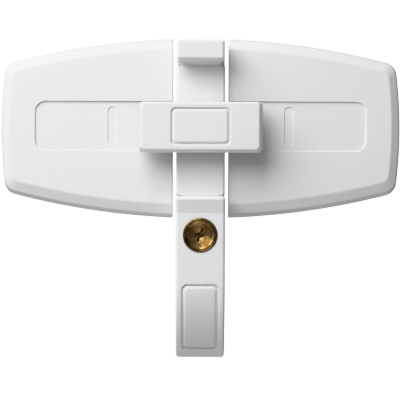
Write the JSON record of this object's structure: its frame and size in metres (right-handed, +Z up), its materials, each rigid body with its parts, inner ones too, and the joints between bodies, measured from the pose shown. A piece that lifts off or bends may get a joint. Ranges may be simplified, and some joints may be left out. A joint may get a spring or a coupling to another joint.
{
  "type": "double-leaf window lock",
  "caption": "Surface-mounted lock for a window or door of two sashes: a keeper plate on each sash, a lock bar on the stile, and a crossbar that turns over both plates, secured by key.",
  "frame": {"origin": "on the crossbar's pivot axis, in the mounting plane where the lock bar's base lies on the stile", "axes": "+Z up; +X to the right as seen from the room, along the closed crossbar; the front faces -Y, and +Y points into the window"},
  "size_m": [0.2024, 0.0295, 0.1613],
  "materials": {
    "white_cover": "fine-grained white moulded plastic, low sheen",
    "white_paint": "white powder coat, satin",
    "zinc_steel": "zinc-plated pressed steel",
    "dark_steel": "hardened steel, dulled",
    "brass": "turned brass with fine tool marks"
  },
  "bodies": {
    "lock_body": {"left_plate_cover": "white_cover", "left_plate_base": "zinc_steel", "left_keeper": "zinc_steel", "left_plate_screw_1": "dark_steel", "left_plate_screw_2": "dark_steel", "left_plate_screw_3": "dark_steel", "left_plate_screw_4": "dark_steel", "left_keeper_rivet_1": "dark_steel", "left_keeper_rivet_2": "dark_steel", "right_plate_cover": "white_cover", "right_plate_base": "zinc_steel", "right_keeper": "zinc_steel", "right_plate_screw_1": "dark_steel", "right_plate_screw_2": "dark_steel", "right_plate_screw_3": "dark_steel", "right_plate_screw_4": "dark_steel", "right_keeper_rivet_1": "dark_steel", "right_keeper_rivet_2": "dark_steel", "bar_base": "zinc_steel", "bar_channel": "white_paint", "top_cap": "white_cover", "lock_housing": "white_paint", "lower_screw_cover": "white_cover", "housing_screw": "dark_steel", "top_mount_screw": "dark_steel", "lower_mount_screw_1": "dark_steel", "lower_mount_screw_2": "dark_steel", "pivot_post": "zinc_steel", "pivot_spring_washer": "dark_steel", "pivot_screw": "dark_steel", "cylinder_body": "brass", "cylinder_clip": "dark_steel", "slide_bridge": "zinc_steel", "left_bridge_screw": "dark_steel", "right_bridge_screw": "dark_steel"},
    "crossbar": {"pivot_hub": "zinc_steel", "index_disc": "zinc_steel", "crossbar_beam": "zinc_steel", "crossbar_cover": "white_cover", "crossbar_screw_cover": "white_cover", "left_cover_screw": "dark_steel", "right_cover_screw": "dark_steel"},
    "key_plug": {"cylinder_plug": "brass", "cylinder_cam": "zinc_steel", "wafer_1": "brass", "wafer_2": "brass", "wafer_3": "brass", "wafer_4": "brass", "wafer_5": "brass"},
    "bolt": {"lock_slide": "zinc_steel"}
  },
  "joints": [
    {"name": "crossbar_turn", "type": "hinge", "parent": "lock_body", "child": "crossbar", "pos_m": [0, -0.022, 0], "axis": [0, 1, 0], "range_deg": [0, 90]},
    {"name": "key_turn", "type": "hinge", "parent": "lock_body", "child": "key_plug", "pos_m": [0, -0.0175, -0.0533], "axis": [0, 1, 0], "range_deg": [0, 90]},
    {"name": "bolt_travel", "type": "slide", "parent": "lock_body", "child": "bolt", "axis": [0, 0, 1], "range_m": [0, 0.0035]}
  ],
  "couplings": [
    {"joint": "key_turn", "follows": "bolt_travel", "rad_per_m": 448.79}
  ]
}
